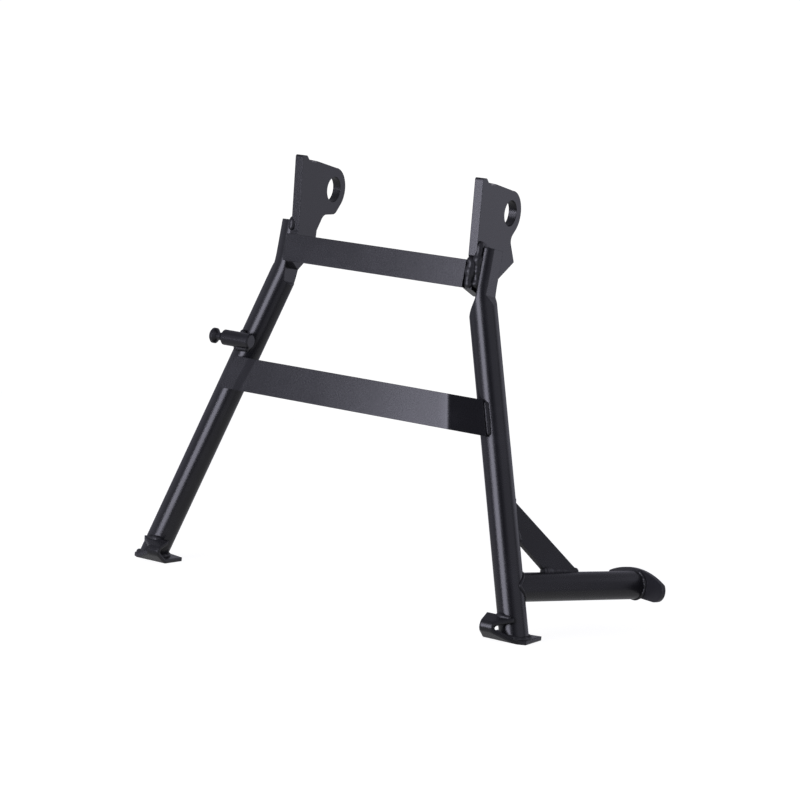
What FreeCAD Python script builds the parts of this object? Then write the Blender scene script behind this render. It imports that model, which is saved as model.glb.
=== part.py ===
import FreeCAD, Part
import math
import os

import Sketcher
from FreeCAD import Placement, Rotation, Vector

# Motorcycle centre stand, welded from bent tube, flat bar and plate.
# Frame: origin halfway along the pivot axis, +X along that axis towards the foot tang,
# +Y towards the rear of the motorcycle, +Z up, with both soles flat on the ground.
# The legs and everything on them lean forward by one angle, so those pieces are laid out
# in an upright leg frame that shares the origin and is then turned about the pivot axis.

DIMENSIONS = (
    # attitude and pivot
    ("lean", 6.5, "forward lean of the legs, degrees"),
    ("lug_gap", 173.9, "clear width between the pivot lugs"),
    ("lug_plate", 8.0, "lug plate thickness"),
    ("bore", 23.0, "pivot bore diameter"),
    ("boss_radius", 19.8, "round end of a lug"),
    ("lug_horn_front", -59.0, "front of the horn on top of a lug"),
    ("lug_horn_width", 7.0, "width of the horn"),
    ("lug_horn_top", 28.0, "top of the horn"),
    ("lug_ledge_reach", 11.0, "horn front to the ledge behind it"),
    ("lug_ledge_top", 24.6, "height of that ledge"),
    ("lug_back_reach", 24.5, "horn front to the end of the level back"),
    ("lug_back_top", 24.0, "height there"),
    ("right_front_foot", -53.6, "foot of the right lug's front edge, above the strap"),
    ("left_front_foot", -51.9, "foot of the left lug's front edge, above the strap"),
    ("lug_step", 2.5, "top of the strap to the step in a lug's front edge"),
    ("lug_step_rise", 2.0, "rise of that step"),
    ("lug_tail", -79.0, "lower end of a lug along the leg"),
    ("lug_tail_front", -73.5, "lower end of its front edge"),
    ("lug_nose_radius", 2.0, "rounding of the horn corners"),
    ("tail_gap", 0.6, "gap under a lug's tail in the coped leg"),
    ("right_neck_angle", 45.0, "where the right lug leaves its boss, degrees below level"),
    ("right_neck_run", 12.2, "straight run from the boss to the neck"),
    ("right_neck_radius", 7.0, "rounding of the right neck"),
    ("right_heel_back", 18.2, "rear corner of the right lug"),
    ("right_heel_low", -42.7, "height of that corner"),
    ("right_heel_slope", 30.7, "slope of the edge below that corner, degrees"),
    ("left_neck_angle", 40.0, "where the left lug leaves its boss, degrees below level"),
    ("left_neck_run", 12.6, "straight run from the boss to its chin"),
    ("left_chin_radius", 9.0, "rounding of that chin"),
    ("left_neck_back", -12.6, "corner of the left neck"),
    ("left_neck_low", -23.6, "height of that corner"),
    ("left_neck_radius", 9.0, "rounding of the left neck"),
    ("left_waist_back", -21.3, "rear edge of the left lug below its neck"),
    ("left_waist_high", -38.0, "upper end of that edge"),
    ("left_waist_low", -57.0, "lower end of that edge"),
    ("left_heel_slope", 36.0, "slope of the edge below, degrees"),
    # legs
    ("leg_tube", 25.0, "outer diameter of the leg tubes"),
    ("leg_wall", 2.5, "tube wall"),
    ("leg_back", 35.05, "leg axis in front of the pivot axis, in the leg frame"),
    ("leg_seat", 4.05, "upper leg axis outside the lug face"),
    ("leg_top", -36.0, "upper end of a leg tube"),
    ("bend_height", -75.0, "height of the bend's corner"),
    ("bend_radius", 60.0, "radius of the bend on the tube axis"),
    ("splay", 17.35, "outward slope of a leg below the bend, degrees"),
    ("press_depth", 13.0, "pressed flat of the upper tube outside the lug face"),
    ("press_low", -76.0, "where the pressed flat starts to run out"),
    ("press_runout", 14.0, "length of that run-out"),
    ("cope_low", -91.0, "where the cope over the lug starts to run out"),
    ("cope_runout", 7.0, "length of that run-out"),
    ("relief_turn", 29.7, "turn of the flat on a leg's inner front corner, degrees"),
    ("relief_high", 5.0, "that flat to the upper leg axis, at the top"),
    ("relief_low", 7.0, "that flat to the upper leg axis, at its lower end"),
    ("relief_start", -80.0, "where the flat starts to slope outward"),
    ("relief_mid", -90.0, "where that slope ends"),
    ("relief_end", -104.0, "lower end of the flat"),
    ("bore_top", -100.0, "where the squeezed upper end closes the tube"),
    # cross straps
    ("strap_plate", 5.0, "thickness of the two cross straps"),
    ("upper_strap_top", -48.9, "top edge of the upper strap"),
    ("upper_strap_width", 24.2, "width of the upper strap"),
    ("upper_strap_lap", 1.0, "how far its right end reaches onto the right lug"),
    ("lower_strap_top", -164.9, "top edge of the lower strap"),
    ("lower_strap_width", 30.2, "width of the lower strap"),
    ("lower_strap_lap", -0.3, "its ends past the leg axes"),
    # feet
    ("ground", -354.3, "underside of the soles"),
    ("foot_plate", 3.5, "thickness of the folded foot plate"),
    ("foot_fold", -88.2, "line where the sole turns up"),
    ("toe_angle", 36.0, "rise of the toe, degrees"),
    ("toe_run", 21.8, "length of the toe up to its fold"),
    ("tongue_angle", 23.0, "rise of the tongue that returns to the leg, degrees"),
    ("toe_radius", 5.8, "outer radius of the toe fold"),
    ("sole_radius", 4.0, "outer radius where the sole turns up"),
    ("sole_inner", 164.5, "inner edge of the right sole"),
    ("sole_outer", 202.4, "outer edge of the right sole at its front"),
    ("sole_outer_back", 200.4, "outer edge of the right sole at its rear"),
    ("sole_back_inner", -61.2, "rear edge of the sole at its inner end"),
    ("sole_back_outer", -49.3, "rear edge of the sole at its outer end"),
    ("sole_corner_front", -82.7, "front end of the sole's outer edge"),
    ("toe_shoulder", 197.0, "outer edge where the toe narrows"),
    ("toe_shoulder_front", -87.0, "place of that shoulder"),
    ("toe_neck", 177.5, "outer edge at the end of the taper"),
    ("toe_neck_front", -98.0, "place of that narrowing"),
    ("toe_tip", 176.5, "outer edge of the toe fold"),
    ("toe_inner", 167.0, "inner edge of the toe fold"),
    ("tongue_outer", 191.6, "outer edge of the tongue at the leg"),
    # spring post
    ("post_height", -150.0, "spring post axis along the leg"),
    ("post_rod", 14.0, "diameter of the post"),
    ("post_inner", -111.0, "inner end of the post"),
    ("post_shoulder", -139.3, "where the rod starts to narrow"),
    ("post_neck_inner", -142.6, "inner end of the spring groove"),
    ("post_neck_outer", -146.2, "outer end of the spring groove"),
    ("post_rim", -148.9, "inner edge of the head's rim"),
    ("post_head", -152.6, "outer end of the post"),
    ("post_neck_rod", 7.0, "diameter in the spring groove"),
    ("post_edge", 1.2, "chamfer of the post's ends"),
    # foot tang
    ("tang_tube", 25.0, "outer diameter of the tang"),
    ("tang_height", -311.3, "height of the tang axis"),
    ("tang_turn", 68.0, "direction of the tang, degrees from +X"),
    ("tang_run", 148.0, "leg axis to the end of the tang"),
    ("pad_plate", 4.0, "thickness of the tread plate"),
    ("pad_half", 35.2, "half the length of the tread plate"),
    ("pad_shift", -1.0, "plate centre beside the tang axis"),
    ("pad_low", -10.2, "bottom edge below the tang axis"),
    ("pad_top", 14.6, "top of the crowned edge above the tang axis"),
    ("pad_crown", 72.0, "radius of the crowned edge"),
    ("pad_end", 10.5, "radius of the plate's ends"),
    # gusset between leg and tang
    ("gusset_plate", 4.5, "gusset thickness"),
    ("gusset_high", 73.4, "upper end of the gusset on the leg"),
    ("gusset_far", 78.8, "outer end of the gusset on the tang"),
    ("gusset_clip_high", 40.6, "clipped corner on the leg"),
    ("gusset_clip_far", 42.0, "clipped corner on the tang"),
    # weld beads
    ("bead", 3.0, "radius of the general weld beads"),
    ("lug_bead", 3.6, "radius of the beads round the upper leg ends"),
    ("strap_bead", 2.6, "radius of the beads at the strap ends"),
    ("ring_bead", 3.6, "radius of the ring beads on tang and pad"),
    ("sole_bead", 4.0, "height and width of the bead round a leg on its sole"),
    ("bead_bite", 0.5, "bead axis off the edge that the bead covers"),
    ("upper_bead_gap", 1.8, "strap end to the axis of its right bead"),
    ("upper_bead_stop", 3.5, "upper strap's edges to the ends of its beads"),
    ("lower_bead_stop", 1.5, "lower strap's edges to the ends of its beads"),
    ("post_bead_inner", 7.0, "bead under the spring post, inward of the leg axis"),
    ("post_bead_outer", 9.0, "bead under the spring post, outward of the leg axis"),
    ("post_tack_inner", 1.0, "tack over the spring post, inward of the leg axis"),
    ("post_tack_outer", 5.0, "tack over the spring post, outward of the leg axis"),
    ("tongue_bead_inner", 9.0, "bead on the tongue, inward of the leg axis"),
    ("tongue_bead_outer", 6.0, "bead on the tongue, outward of the leg axis"),
    ("sole_margin", 1.0, "bead on a sole to the sole's side edges"),
    ("pad_bead_toe", 0.2, "thin end of the ring bead on the tang"),
    # cutting shapes
    ("overrun", 20.0, "reach of a cutting shape past the piece that it cuts"),
)

doc = FreeCAD.newDocument("centre_stand")
dims = doc.addObject("Spreadsheet::Sheet", "dims")
for row, (alias, number, meaning) in enumerate(DIMENSIONS, start=1):
    dims.set(f"A{row}", meaning)
    dims.set(f"B{row}", str(number))
    dims.setAlias(f"B{row}", alias)
doc.recompute()

LEAN = "dims.lean"
LUG_INNER = "dims.lug_gap / 2"
LUG_OUTER = "(dims.lug_gap / 2 + dims.lug_plate)"
LEG_X = f"({LUG_OUTER} + dims.leg_seat)"
LEG_RADIUS = "dims.leg_tube / 2"
STRAP_BACK = "(-dims.leg_back - dims.leg_tube / 2)"
SOLE_TOP = "(dims.ground + dims.foot_plate)"
STEP_HIGH = "(dims.upper_strap_top + dims.lug_step)"
CUT_TOP = "(dims.leg_top + dims.overrun)"


def size(expression):
    """Number that an expression on the sheet comes to."""
    return float(dims.evalExpression(expression.replace("dims.", "")))


def leaned_y(y, z):
    """Row-frame Y, as an expression, of a point given in the leg frame."""
    return f"(({y}) * cos({LEAN}) + ({z}) * sin({LEAN}))"


def leaned_z(y, z):
    """Row-frame Z, as an expression, of a point given in the leg frame."""
    return f"(({z}) * cos({LEAN}) - ({y}) * sin({LEAN}))"


def leg_frame():
    """Placement that leans the leg frame forward about the pivot axis."""
    return Placement(Vector(), Rotation(Vector(1, 0, 0), -size(LEAN)))


def leaned(point):
    """Point of the leg frame, in the row frame."""
    return leg_frame().multVec(point)


def new_body(label):
    """Empty body named after its piece."""
    body = doc.addObject("PartDesign::Body", label)
    body.Label = label
    return body


def new_sketch(body, name, plane, offset="0"):
    """Sketch on one of the body's origin planes, moved along its normal."""
    sketch = body.newObject("Sketcher::SketchObject", f"{body.Name}_{name}")
    origin = next(item for item in body.Origin.OriginFeatures if item.Role == plane)
    sketch.AttachmentSupport = (origin, "")
    sketch.MapMode = "FlatFace"
    sketch.setExpression("AttachmentOffset.Base.z", offset)
    return sketch


def pin_corner(sketch, geometry, end, corner):
    """Tie one end of a line or arc to a pair of expressions."""
    for kind, expression in zip(("DistanceX", "DistanceY"), corner):
        rule = Sketcher.Constraint(kind, -1, 1, geometry, end, size(expression))
        sketch.setExpression(f"Constraints[{sketch.addConstraint(rule)}]", expression)


def draw_outline(sketch, corners):
    """Closed polygon whose corners are pairs of expressions."""
    first = sketch.GeometryCount
    places = [Vector(size(x), size(y), 0) for x, y in corners]
    for start, end in zip(places, places[1:] + places[:1]):
        sketch.addGeometry(Part.LineSegment(start, end), False)
    last = first + len(corners) - 1
    for line in range(first, last + 1):
        follower = line + 1 if line < last else first
        sketch.addConstraint(Sketcher.Constraint("Coincident", line, 2, follower, 1))
    for index, corner in enumerate(corners):
        pin_corner(sketch, first + index, 1, corner)


def draw_circle(sketch, radius, centre=("0", "0")):
    """Circle with its radius and centre tied to expressions."""
    place = Vector(size(centre[0]), size(centre[1]), 0)
    ring = sketch.addGeometry(Part.Circle(place, Vector(0, 0, 1), size(radius)), False)
    rule = sketch.addConstraint(Sketcher.Constraint("Radius", ring, size(radius)))
    sketch.setExpression(f"Constraints[{rule}]", radius)
    pin_corner(sketch, ring, 3, centre)


def add_pad(body, sketch, length, middle=False):
    """Pad a sketch along its normal, or half to each side of it."""
    pad = body.newObject("PartDesign::Pad", f"{sketch.Name}_pad")
    pad.Profile = sketch
    pad.Midplane = middle
    pad.setExpression("Length", length)
    doc.recompute()
    return pad


def add_pocket(body, sketch):
    """Cut a sketch through everything, on both sides of its plane."""
    before = body.Tip.Shape.Volume
    pocket = body.newObject("PartDesign::Pocket", f"{sketch.Name}_pocket")
    pocket.Profile = sketch
    pocket.Type = "ThroughAll"
    pocket.Midplane = True
    doc.recompute()
    if not pocket.Shape.Volume < before:
        raise RuntimeError(f"{sketch.Name} cuts nothing")
    return pocket


def round_edges(body, feature, corners, radius):
    """Fillet the edges along X that stand over the given pairs of expressions."""
    names = []
    for y, z in corners:
        spot = (size(y), size(z))
        gaps = []
        for number, edge in enumerate(feature.Shape.Edges, start=1):
            ends = [vertex.Point for vertex in edge.Vertexes]
            if len(ends) == 2 and abs(ends[0].x - ends[1].x) > 1:
                middle = (ends[0] + ends[1]) / 2
                gaps.append((math.dist(spot, (middle.y, middle.z)), f"Edge{number}"))
        names.append(min(gaps)[1])
    fillet = body.newObject("PartDesign::Fillet", f"{body.Name}_fillet_{feature.Name}")
    fillet.Base = (feature, names)
    fillet.setExpression("Radius", radius)
    doc.recompute()
    return fillet


def cylinder(name, radius, height, placement):
    """Cylinder with bound sizes at a placement."""
    solid = doc.addObject("Part::Cylinder", name)
    solid.setExpression("Radius", radius)
    solid.setExpression("Height", height)
    solid.Placement = placement
    return solid


def facing(place, direction):
    """Placement at a point with local Z turned into a direction."""
    return Placement(place, Rotation(Vector(0, 0, 1), direction))


def cut_away(label, base, tools):
    """Base with every tool taken away, one cut after another."""
    result = base
    for count, tool in enumerate(tools, start=1):
        last = count == len(tools)
        name = label if last else f"{label}_cut_{count}"
        cut = doc.addObject("Part::Cut", name)
        cut.Base = result
        cut.Tool = tool
        result = cut
    result.Label = label
    doc.recompute()
    return result


def bead_along(name, stops, radius):
    """Round weld bead through a list of points, its runs lapped at the corners."""
    lap = size(radius)
    pieces = []
    last = len(stops) - 2
    for count, (start, end) in enumerate(zip(stops, stops[1:])):
        run = (end - start).normalize()
        head = start - run * lap if count else start
        tail = end + run * lap if count < last else end
        length = f"{(tail - head).Length}"
        pieces.append(cylinder(f"{name}_run_{count}", radius, length, facing(head, run)))
    if len(pieces) == 1:
        return pieces[0]
    bead = doc.addObject("Part::MultiFuse", f"{name}_bead")
    bead.Shapes = pieces
    return bead


def mirrored(label, source):
    """Copy of a right-hand piece on the left side."""
    mirror = doc.addObject("Part::Mirroring", label)
    mirror.Source = source
    mirror.Base = Vector()
    mirror.Normal = Vector(1, 0, 0)
    mirror.Label = label
    return mirror


# Pivot lugs: flame-cut plates with a round boss end, a horn at the front and a tail that
# runs down beside the leg. The two rear edges differ.

def lug_front(side):
    """Corners of a lug from its tail up the front edge and along the top."""
    horn_back = "(dims.lug_horn_front + dims.lug_horn_width)"
    tail = "dims.lug_tail_front"
    return [
        (leaned_y(STRAP_BACK, tail), leaned_z(STRAP_BACK, tail)),
        (leaned_y(STRAP_BACK, STEP_HIGH), leaned_z(STRAP_BACK, STEP_HIGH)),
        (f"dims.{side}_front_foot", f"{leaned_z(STRAP_BACK, STEP_HIGH)} + dims.lug_step_rise"),
        ("dims.lug_horn_front", "dims.lug_horn_top"),
        (horn_back, "dims.lug_horn_top"),
        ("dims.lug_horn_front + dims.lug_ledge_reach", "dims.lug_ledge_top"),
        ("dims.lug_horn_front + dims.lug_back_reach", "dims.lug_back_top"),
        ("0", "dims.boss_radius"),
    ]


def neck_start(side):
    """Point where a lug's rear edge leaves its boss."""
    angle = f"dims.{side}_neck_angle"
    return f"dims.boss_radius * cos({angle})", f"-dims.boss_radius * sin({angle})"


def neck_corner(side):
    """Corner of the neck, straight on from the boss."""
    angle = f"dims.{side}_neck_angle"
    start_y, start_z = neck_start(side)
    run = f"dims.{side}_neck_run"
    return f"{start_y} - {run} * sin({angle})", f"{start_z} - {run} * cos({angle})"


def tail_corner(high, slope):
    """Point of the tail's lower end on a sloping edge that starts at a corner."""
    fall = f"(dims.lug_tail * cos({LEAN}) - ({high[1]}) + dims.leg_back * sin({LEAN}))"
    return f"{high[0]} + {fall} / tan({slope})", f"({high[1]}) + {fall}"


def pivot_lug(side, inner_face, rear_corners, curves):
    """One lug plate from its outline, its rear curves as corner and radius, boss and bore."""
    label = f"{side}_pivot_lug"
    body = new_body(label)
    plate = new_sketch(body, "plate", "YZ_Plane", inner_face)
    draw_outline(plate, lug_front(side) + rear_corners)
    web = add_pad(body, plate, "dims.lug_plate")
    rounded = round_edges(body, web, lug_front(side)[3:5], "dims.lug_nose_radius")
    for corner, radius in curves:
        rounded = round_edges(body, rounded, [corner], radius)
    boss = new_sketch(body, "boss", "YZ_Plane", inner_face)
    draw_circle(boss, "dims.boss_radius")
    add_pad(body, boss, "dims.lug_plate")
    bore = new_sketch(body, "bore", "YZ_Plane", inner_face)
    draw_circle(bore, "dims.bore / 2")
    add_pocket(body, bore)
    return body


right_heel = ("dims.right_heel_back", "dims.right_heel_low")
right_lug = pivot_lug("right", LUG_INNER, [
    neck_start("right"),
    neck_corner("right"),
    right_heel,
    tail_corner(right_heel, "dims.right_heel_slope"),
], [(neck_corner("right"), "dims.right_neck_radius")])
left_neck = ("dims.left_neck_back", "dims.left_neck_low")
left_heel = ("dims.left_waist_back", "dims.left_waist_low")
left_lug = pivot_lug("left", f"-{LUG_OUTER}", [
    neck_start("left"),
    neck_corner("left"),
    left_neck,
    ("dims.left_waist_back", "dims.left_waist_high"),
    left_heel,
    tail_corner(left_heel, "dims.left_heel_slope"),
], [(neck_corner("left"), "dims.left_chin_radius"), (left_neck, "dims.left_neck_radius")])


# Legs: one bent tube each. The upper end is pressed flat outside, coped over the lug's
# outer face and squeezed shut; the lower end is cut to seat in the folded foot. The right
# one also has a flat down its inner front corner.

def leg_path(sketch, low):
    """Axis of the right leg: straight down, round the bend and out along the splay."""
    tangent = "dims.bend_radius * tan(dims.splay / 2)"
    bend_start = (LEG_X, f"dims.bend_height + {tangent}")
    bend_end = (f"{LEG_X} + {tangent} * sin(dims.splay)",
                f"dims.bend_height - {tangent} * cos(dims.splay)")
    middle = (f"{LEG_X} + dims.bend_radius * (1 - cos(dims.splay / 2))",
              f"dims.bend_height + {tangent} - dims.bend_radius * sin(dims.splay / 2)")
    foot_end = (f"{LEG_X} + (dims.bend_height - ({low})) * tan(dims.splay)", low)
    points = {}
    for name, corner in (("start", bend_start), ("end", bend_end), ("middle", middle),
                         ("foot", foot_end), ("top", (LEG_X, "dims.leg_top"))):
        points[name] = Vector(size(corner[0]), size(corner[1]), 0)
    upper = sketch.addGeometry(Part.LineSegment(points["top"], points["start"]), False)
    curve = Part.Arc(points["start"], points["middle"], points["end"])
    bend = sketch.addGeometry(curve, False)
    lower = sketch.addGeometry(Part.LineSegment(points["end"], points["foot"]), False)
    pin_corner(sketch, upper, 1, (LEG_X, "dims.leg_top"))
    pin_corner(sketch, lower, 2, foot_end)
    # The arc runs anticlockwise, so its end of the sketch's own order is found by place.
    ends = {1: sketch.getPoint(bend, 1), 2: sketch.getPoint(bend, 2)}
    near = min(ends, key=lambda end: ends[end].distanceToPoint(points["start"]))
    sketch.addConstraint(Sketcher.Constraint("Coincident", upper, 2, bend, near))
    sketch.addConstraint(Sketcher.Constraint("Coincident", bend, 3 - near, lower, 1))
    pin_corner(sketch, upper, 2, bend_start)
    pin_corner(sketch, lower, 1, bend_end)
    rule = sketch.addConstraint(Sketcher.Constraint("Radius", bend, size("dims.bend_radius")))
    sketch.setExpression(f"Constraints[{rule}]", "dims.bend_radius")
    return sketch


def leg_rod(name, radius, low):
    """Solid rod along the leg axis, from its upper end to a level below the soles."""
    body = new_body(name)
    path = leg_path(new_sketch(body, "path", "XZ_Plane", "dims.leg_back"), low)
    ring = new_sketch(body, "section", "XY_Plane", "dims.leg_top")
    draw_circle(ring, radius, (LEG_X, "-dims.leg_back"))
    pipe = body.newObject("PartDesign::AdditivePipe", f"{name}_pipe")
    pipe.Profile = ring
    pipe.Spine = path
    body.Placement = leg_frame()
    doc.recompute()
    return body


def box(name, low, high, placement=Placement()):
    """Box between two corners given as expressions."""
    solid = doc.addObject("Part::Box", name)
    corner = Vector(*(size(expression) for expression in low))
    for side, start, end in zip(("Length", "Width", "Height"), low, high):
        solid.setExpression(side, f"({end}) - ({start})")
    solid.Placement = placement.multiply(Placement(corner, Rotation()))
    return solid


right_blank = leg_rod("leg_outside", LEG_RADIUS, "dims.ground - dims.overrun")
right_hollow = leg_rod("leg_inside", f"({LEG_RADIUS} - dims.leg_wall)",
                       "dims.ground - 2 * dims.overrun")
above_hollow = box(
    "squeezed_end", (LUG_INNER, "-dims.leg_back - dims.leg_tube", "dims.bore_top"),
    (f"{LEG_X} + 2 * dims.leg_tube", "dims.leg_tube - dims.leg_back", CUT_TOP), leg_frame())
hollow = cut_away("leg_bore", right_hollow, [above_hollow])


def side_cut(name, corners, turn):
    """Prism about the upper leg axis, level across it, from corners beside that axis."""
    body = new_body(name)
    face = new_sketch(body, "face", "XZ_Plane")
    draw_outline(face, corners)
    add_pad(body, face, "2 * dims.leg_tube", middle=True)
    axis = Placement(Vector(size(LEG_X), -size("dims.leg_back"), 0),
                     Rotation(Vector(0, 0, 1), size(turn)))
    body.Placement = leg_frame().multiply(axis)
    return body


COPE = "-dims.leg_seat"
COPE_END = "(dims.cope_low - dims.cope_runout)"
PRESSED = "(dims.press_depth - dims.leg_seat)"
lug_cope = side_cut("lug_cope", [
    ("-dims.leg_tube", CUT_TOP), (COPE, CUT_TOP), (COPE, "dims.cope_low"),
    (f"{COPE} - {LEG_RADIUS}", COPE_END), ("-dims.leg_tube", COPE_END)], "0")
pressed = side_cut("pressed_side", [
    (PRESSED, CUT_TOP), (PRESSED, "dims.press_low"),
    (f"{PRESSED} + {LEG_RADIUS}", "dims.press_low - dims.press_runout"),
    (f"{PRESSED} + dims.leg_tube", CUT_TOP)], "0")
relief = side_cut("relieved_corner", [
    ("-dims.leg_tube", CUT_TOP), ("-dims.relief_high", CUT_TOP),
    ("-dims.relief_high", "dims.relief_start"), ("-dims.relief_low", "dims.relief_mid"),
    ("-dims.relief_low", "dims.relief_end"), ("-dims.leg_tube", "dims.relief_end")],
    "dims.relief_turn")


# Feet: each one flat blank, folded up into a toe and back to the front of the leg, with a
# scallop cut out of the outer side of the toe.

TOE_Y = "(dims.foot_fold - dims.toe_run * cos(dims.toe_angle))"
TOE_Z = "(dims.ground + dims.toe_run * sin(dims.toe_angle))"
LEG_FRONT = f"({STRAP_BACK} / cos({LEAN}))"
TONGUE_RUN = (f"(({LEG_FRONT} + {TOE_Z} * tan({LEAN}) - {TOE_Y})"
              f" / (cos(dims.tongue_angle) - sin(dims.tongue_angle) * tan({LEAN})))")
TONGUE_END = (f"({TOE_Y} + {TONGUE_RUN} * cos(dims.tongue_angle))",
              f"({TOE_Z} + {TONGUE_RUN} * sin(dims.tongue_angle))")
FOLD_SHARE = "(1 - cos(dims.toe_angle + dims.tongue_angle))"
TOE_INSIDE = (
    f"({TOE_Y} + dims.foot_plate * (sin(dims.toe_angle) + sin(dims.tongue_angle))"
    f" / {FOLD_SHARE})",
    f"({TOE_Z} + dims.foot_plate * (cos(dims.toe_angle) - cos(dims.tongue_angle))"
    f" / {FOLD_SHARE})")
SOLE_INSIDE = ("(dims.foot_fold + dims.foot_plate * tan(dims.toe_angle / 2))", SOLE_TOP)


def folded_foot():
    """Right foot: folded section padded along X, trimmed to its plan outline."""
    body = new_body("right_foot")
    side = new_sketch(body, "section", "YZ_Plane", "dims.sole_inner - dims.overrun / 2")
    rear = "dims.sole_back_outer + dims.overrun / 2"
    outer_fold = ("dims.foot_fold", "dims.ground")
    toe = (TOE_Y, TOE_Z)
    slant = f"(dims.foot_plate / cos(dims.tongue_angle + {LEAN}))"
    tongue_under = (f"{TONGUE_END[0]} - {slant} * sin({LEAN})",
                    f"{TONGUE_END[1]} - {slant} * cos({LEAN})")
    draw_outline(side, [(rear, "dims.ground"), outer_fold, toe, TONGUE_END, tongue_under,
                        TOE_INSIDE, SOLE_INSIDE, (rear, SOLE_TOP)])
    strip = add_pad(body, side, "dims.sole_outer - dims.sole_inner + dims.overrun")
    bent = round_edges(body, strip, [toe], "dims.toe_radius")
    bent = round_edges(body, bent, [TOE_INSIDE], "dims.toe_radius - dims.foot_plate")
    round_edges(body, bent, [outer_fold], "dims.sole_radius")
    plan = new_sketch(body, "plan", "XY_Plane", "dims.ground")
    inner = "dims.sole_inner - dims.overrun"
    outer = "dims.sole_outer + dims.overrun"
    ahead = f"{TOE_Y} - dims.overrun"
    draw_outline(plan, [(inner, ahead), (outer, ahead), (outer, "0"), (inner, "0")])
    draw_outline(plan, [
        ("dims.sole_inner", "dims.sole_back_inner"),
        ("dims.sole_outer_back", "dims.sole_back_outer"),
        ("dims.sole_outer", "dims.sole_corner_front"),
        ("dims.toe_shoulder", "dims.toe_shoulder_front"),
        ("dims.toe_neck", "dims.toe_neck_front"),
        ("dims.toe_tip", f"{TOE_Y} - dims.overrun / 2"),
        ("dims.toe_inner", f"{TOE_Y} - dims.overrun / 2"),
        ("dims.sole_inner", "dims.toe_shoulder_front"),
    ])
    add_pocket(body, plan)
    trim = new_sketch(body, "tongue_trim", "XY_Plane", f"{TOE_Z} - dims.toe_radius / 2")
    draw_outline(trim, [
        ("dims.tongue_outer", "0"), ("dims.tongue_outer", TONGUE_END[0]),
        ("dims.toe_tip", "dims.toe_neck_front"), (outer, "dims.toe_neck_front"), (outer, "0")])
    pocket = body.newObject("PartDesign::Pocket", "right_foot_tongue_pocket")
    pocket.Profile = trim
    pocket.Reversed = True
    pocket.setExpression("Length", "2 * dims.toe_run")
    doc.recompute()
    return body


def ground_cut():
    """Everything under the inside of the foot's sole and toe, to trim the leg's end."""
    body = new_body("ground_cut")
    side = new_sketch(body, "section", "YZ_Plane", "dims.sole_inner - dims.overrun")
    ahead = f"{TOE_Y} - dims.overrun"
    below = "dims.ground - 3 * dims.overrun"
    draw_outline(side, [("dims.overrun", SOLE_TOP), SOLE_INSIDE, TOE_INSIDE,
                        (ahead, TOE_INSIDE[1]), (ahead, below), ("dims.overrun", below)])
    add_pad(body, side, "dims.sole_outer - dims.sole_inner + 2 * dims.overrun")
    return body


right_foot = folded_foot()
left_foot = mirrored("left_foot", right_foot)
foot_trim = ground_cut()
leg_shape = cut_away("leg_shape", right_blank, [hollow, lug_cope, pressed, foot_trim])
right_leg = cut_away("right_leg_tube", leg_shape, [relief])
left_leg = mirrored("left_leg_tube", leg_shape)


# Cross straps: flat bars on the front of the legs.

def cross_strap(label, corners):
    """Flat bar padded forward from the front of the legs."""
    body = new_body(label)
    face = new_sketch(body, "face", "XZ_Plane", f"-{STRAP_BACK}")
    draw_outline(face, corners)
    add_pad(body, face, "dims.strap_plate")
    body.Placement = leg_frame()
    return body


def leg_axis_x(height):
    """X of the right leg's axis below the bend, at a height in the leg frame."""
    return f"({LEG_X} + (dims.bend_height - ({height})) * tan(dims.splay))"


UPPER_LOW = "dims.upper_strap_top - dims.upper_strap_width"
LOWER_LOW = "dims.lower_strap_top - dims.lower_strap_width"
UPPER_RIGHT = f"({LUG_INNER} + dims.upper_strap_lap)"
upper_strap = cross_strap("upper_cross_strap", [
    (f"-{LUG_OUTER}", "dims.upper_strap_top"), (UPPER_RIGHT, "dims.upper_strap_top"),
    (UPPER_RIGHT, UPPER_LOW), (f"-{LUG_OUTER}", UPPER_LOW)])


def lower_end(height):
    """End of the lower strap at one of its edges."""
    return f"({leg_axis_x(height)} + dims.lower_strap_lap)"


lower_strap = cross_strap("lower_cross_strap", [
    (f"-{lower_end('dims.lower_strap_top')}", "dims.lower_strap_top"),
    (lower_end("dims.lower_strap_top"), "dims.lower_strap_top"),
    (lower_end(LOWER_LOW), LOWER_LOW),
    (f"-{lower_end(LOWER_LOW)}", LOWER_LOW)])


# Spring post: turned pin across the front of the left leg, grooved for the springs.

def spring_post():
    """Turned post with its groove and chamfered ends."""
    body = new_body("spring_post")
    half = new_sketch(body, "half", "XY_Plane")
    rod = "dims.post_rod / 2"
    slim = "dims.post_neck_rod / 2"
    edge = "dims.post_edge"
    draw_outline(half, [
        ("dims.post_inner", "0"), ("dims.post_inner", f"{rod} - {edge}"),
        (f"dims.post_inner - {edge}", rod), ("dims.post_shoulder", rod),
        ("dims.post_neck_inner", slim), ("dims.post_neck_outer", slim),
        ("dims.post_rim", rod), (f"dims.post_head + {edge}", rod),
        ("dims.post_head", f"{rod} - {edge}"), ("dims.post_head", "0")])
    turn = body.newObject("PartDesign::Revolution", "spring_post_turning")
    turn.Profile = half
    turn.ReferenceAxis = (half, ["H_Axis"])
    turn.Angle = 360
    centre = Vector(0, size(STRAP_BACK) - size(rod), size("dims.post_height"))
    body.Placement = leg_frame().multiply(Placement(centre, Rotation()))
    doc.recompute()
    return body


post = spring_post()


# Foot tang: a level tube from the right leg to the tread plate, braced by a gusset.

def tang_start():
    """Point of the right leg's axis at the height of the tang, in the row frame."""
    lean = math.radians(size(LEAN))
    back = size("dims.leg_back")
    height = (size("dims.tang_height") - back * math.sin(lean)) / math.cos(lean)
    return leaned(Vector(size(leg_axis_x(str(height))), -back, height))


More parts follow.
